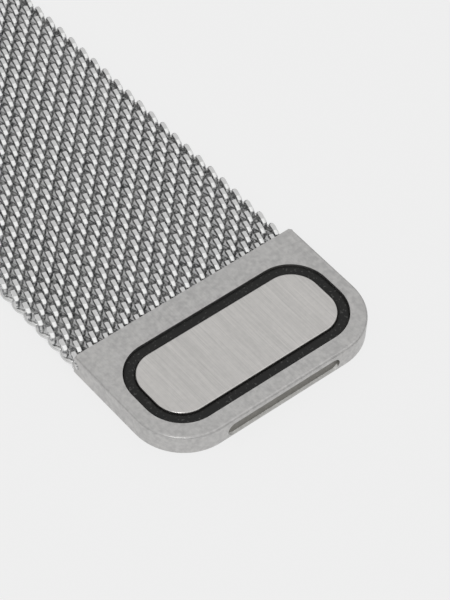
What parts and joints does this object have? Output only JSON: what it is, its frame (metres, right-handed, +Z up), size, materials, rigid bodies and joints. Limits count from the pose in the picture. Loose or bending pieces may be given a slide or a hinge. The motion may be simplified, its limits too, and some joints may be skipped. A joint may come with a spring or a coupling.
{
  "type": "watch strap",
  "caption": "Woven steel watch strap with a magnetic tab, a keeper frame that it threads through, and quick-release spring bars.",
  "frame": {"origin": "middle of the footprint on the table, with the strap laid open", "axes": "+Y along the strap from the magnetic tab to the lug end, +X across it, +Z up, the face that the picture shows"},
  "size_m": [0.0252, 0.2248, 0.0075],
  "materials": {
    "brushed_steel": "brushed along the strap",
    "woven_steel": "drawn wire, lightly flattened",
    "rubber": "satin",
    "magnet": "nickel plated",
    "plain_steel": "plain",
    "bar_steel": "turned"
  },
  "bodies": {
    "lug": {"lug_end": "brushed_steel", "mesh_end_rear": "woven_steel", "lug_bar_sleeve": "bar_steel", "lug_bar_fixed_tip": "bar_steel", "lug_bar_spring": "bar_steel"},
    "lug_plunger": {"lug_bar_plunger": "bar_steel", "lug_bar_knob": "bar_steel"},
    "mesh_01": {"mesh_01": "woven_steel"},
    "mesh_02": {"mesh_02": "woven_steel"},
    "mesh_03": {"mesh_03": "woven_steel"},
    "mesh_04": {"mesh_04": "woven_steel"},
    "mesh_05": {"mesh_05": "woven_steel"},
    "mesh_06": {"mesh_06": "woven_steel"},
    "mesh_07": {"mesh_07": "woven_steel"},
    "mesh_08": {"mesh_08": "woven_steel"},
    "mesh_09": {"mesh_09": "woven_steel"},
    "mesh_10": {"mesh_10": "woven_steel"},
    "mesh_11": {"mesh_11": "woven_steel"},
    "mesh_12": {"mesh_12": "woven_steel"},
    "mesh_13": {"mesh_13": "woven_steel"},
    "mesh_14": {"mesh_14": "woven_steel"},
    "mesh_15": {"mesh_15": "woven_steel"},
    "mesh_16": {"mesh_16": "woven_steel"},
    "tab": {"tab_housing": "brushed_steel", "display_plate": "brushed_steel", "rubber_ring": "rubber", "yoke_plate": "plain_steel", "magnets": "magnet", "back_cover": "brushed_steel", "mesh_end_front": "woven_steel"},
    "keeper": {"keeper": "brushed_steel", "keeper_bar_sleeve": "bar_steel", "keeper_bar_fixed_tip": "bar_steel", "keeper_bar_spring": "bar_steel"},
    "keeper_plunger": {"keeper_bar_plunger": "bar_steel", "keeper_bar_knob": "bar_steel"}
  },
  "joints": [
    {"name": "bend_00", "type": "hinge", "parent": "mesh_01", "child": "tab", "pos_m": [0, -0.09905, 0.00103], "axis": [-1, 0, 0], "range_deg": [-20, 20]},
    {"name": "bend_01", "type": "hinge", "parent": "mesh_02", "child": "mesh_01", "pos_m": [0, -0.08625, 0.00103], "axis": [-1, 0, 0], "range_deg": [-20, 20]},
    {"name": "bend_02", "type": "hinge", "parent": "mesh_03", "child": "mesh_02", "pos_m": [0, -0.07345, 0.00103], "axis": [-1, 0, 0], "range_deg": [-20, 20]},
    {"name": "bend_03", "type": "hinge", "parent": "mesh_04", "child": "mesh_03", "pos_m": [0, -0.06065, 0.00103], "axis": [-1, 0, 0], "range_deg": [-20, 20]},
    {"name": "bend_04", "type": "hinge", "parent": "mesh_05", "child": "mesh_04", "pos_m": [0, -0.04785, 0.00103], "axis": [-1, 0, 0], "range_deg": [-20, 20]},
    {"name": "bend_05", "type": "hinge", "parent": "mesh_06", "child": "mesh_05", "pos_m": [0, -0.03505, 0.00103], "axis": [-1, 0, 0], "range_deg": [-20, 20]},
    {"name": "bend_06", "type": "hinge", "parent": "mesh_07", "child": "mesh_06", "pos_m": [0, -0.02225, 0.00103], "axis": [-1, 0, 0], "range_deg": [-20, 20]},
    {"name": "bend_07", "type": "hinge", "parent": "mesh_08", "child": "mesh_07", "pos_m": [0, -0.00945, 0.00103], "axis": [-1, 0, 0], "range_deg": [-20, 20]},
    {"name": "bend_08", "type": "hinge", "parent": "mesh_08", "child": "mesh_09", "pos_m": [0, 0.00335, 0.00103], "axis": [1, 0, 0], "range_deg": [-20, 20]},
    {"name": "bend_09", "type": "hinge", "parent": "mesh_09", "child": "mesh_10", "pos_m": [0, 0.01615, 0.00103], "axis": [1, 0, 0], "range_deg": [-20, 20]},
    {"name": "bend_10", "type": "hinge", "parent": "mesh_10", "child": "mesh_11", "pos_m": [0, 0.02895, 0.00103], "axis": [1, 0, 0], "range_deg": [-20, 20]},
    {"name": "bend_11", "type": "hinge", "parent": "mesh_11", "child": "mesh_12", "pos_m": [0, 0.04175, 0.00103], "axis": [1, 0, 0], "range_deg": [-20, 20]},
    {"name": "bend_12", "type": "hinge", "parent": "mesh_12", "child": "mesh_13", "pos_m": [0, 0.05455, 0.00103], "axis": [1, 0, 0], "range_deg": [-20, 20]},
    {"name": "bend_13", "type": "hinge", "parent": "mesh_13", "child": "mesh_14", "pos_m": [0, 0.06735, 0.00103], "axis": [1, 0, 0], "range_deg": [-20, 20]},
    {"name": "bend_14", "type": "hinge", "parent": "mesh_14", "child": "mesh_15", "pos_m": [0, 0.08012, 0.00202], "axis": [1, 0, 0], "range_deg": [-20, 20]},
    {"name": "bend_15", "type": "hinge", "parent": "mesh_15", "child": "mesh_16", "pos_m": [0, 0.09292, 0.00202], "axis": [1, 0, 0], "range_deg": [-20, 20]},
    {"name": "bend_16", "type": "hinge", "parent": "mesh_16", "child": "lug", "pos_m": [0, 0.1057, 0.0013], "axis": [1, 0, 0], "range_deg": [-20, 20]},
    {"name": "keeper_slide", "type": "slide", "parent": "mesh_15", "child": "keeper", "axis": [0, 1, 0], "range_m": [-0.0045, 0.0045]},
    {"name": "lug_tip_press", "type": "slide", "parent": "lug", "child": "lug_plunger", "axis": [-1, 0, 0], "range_m": [0, 0.0012], "stiffness_N_per_m": 900, "springref_m": -0.001, "deforming": ["lug_bar_spring"]},
    {"name": "keeper_tip_press", "type": "slide", "parent": "keeper", "child": "keeper_plunger", "axis": [-1, 0, 0], "range_m": [0, 0.0012], "stiffness_N_per_m": 900, "springref_m": -0.001, "deforming": ["keeper_bar_spring"]}
  ]
}
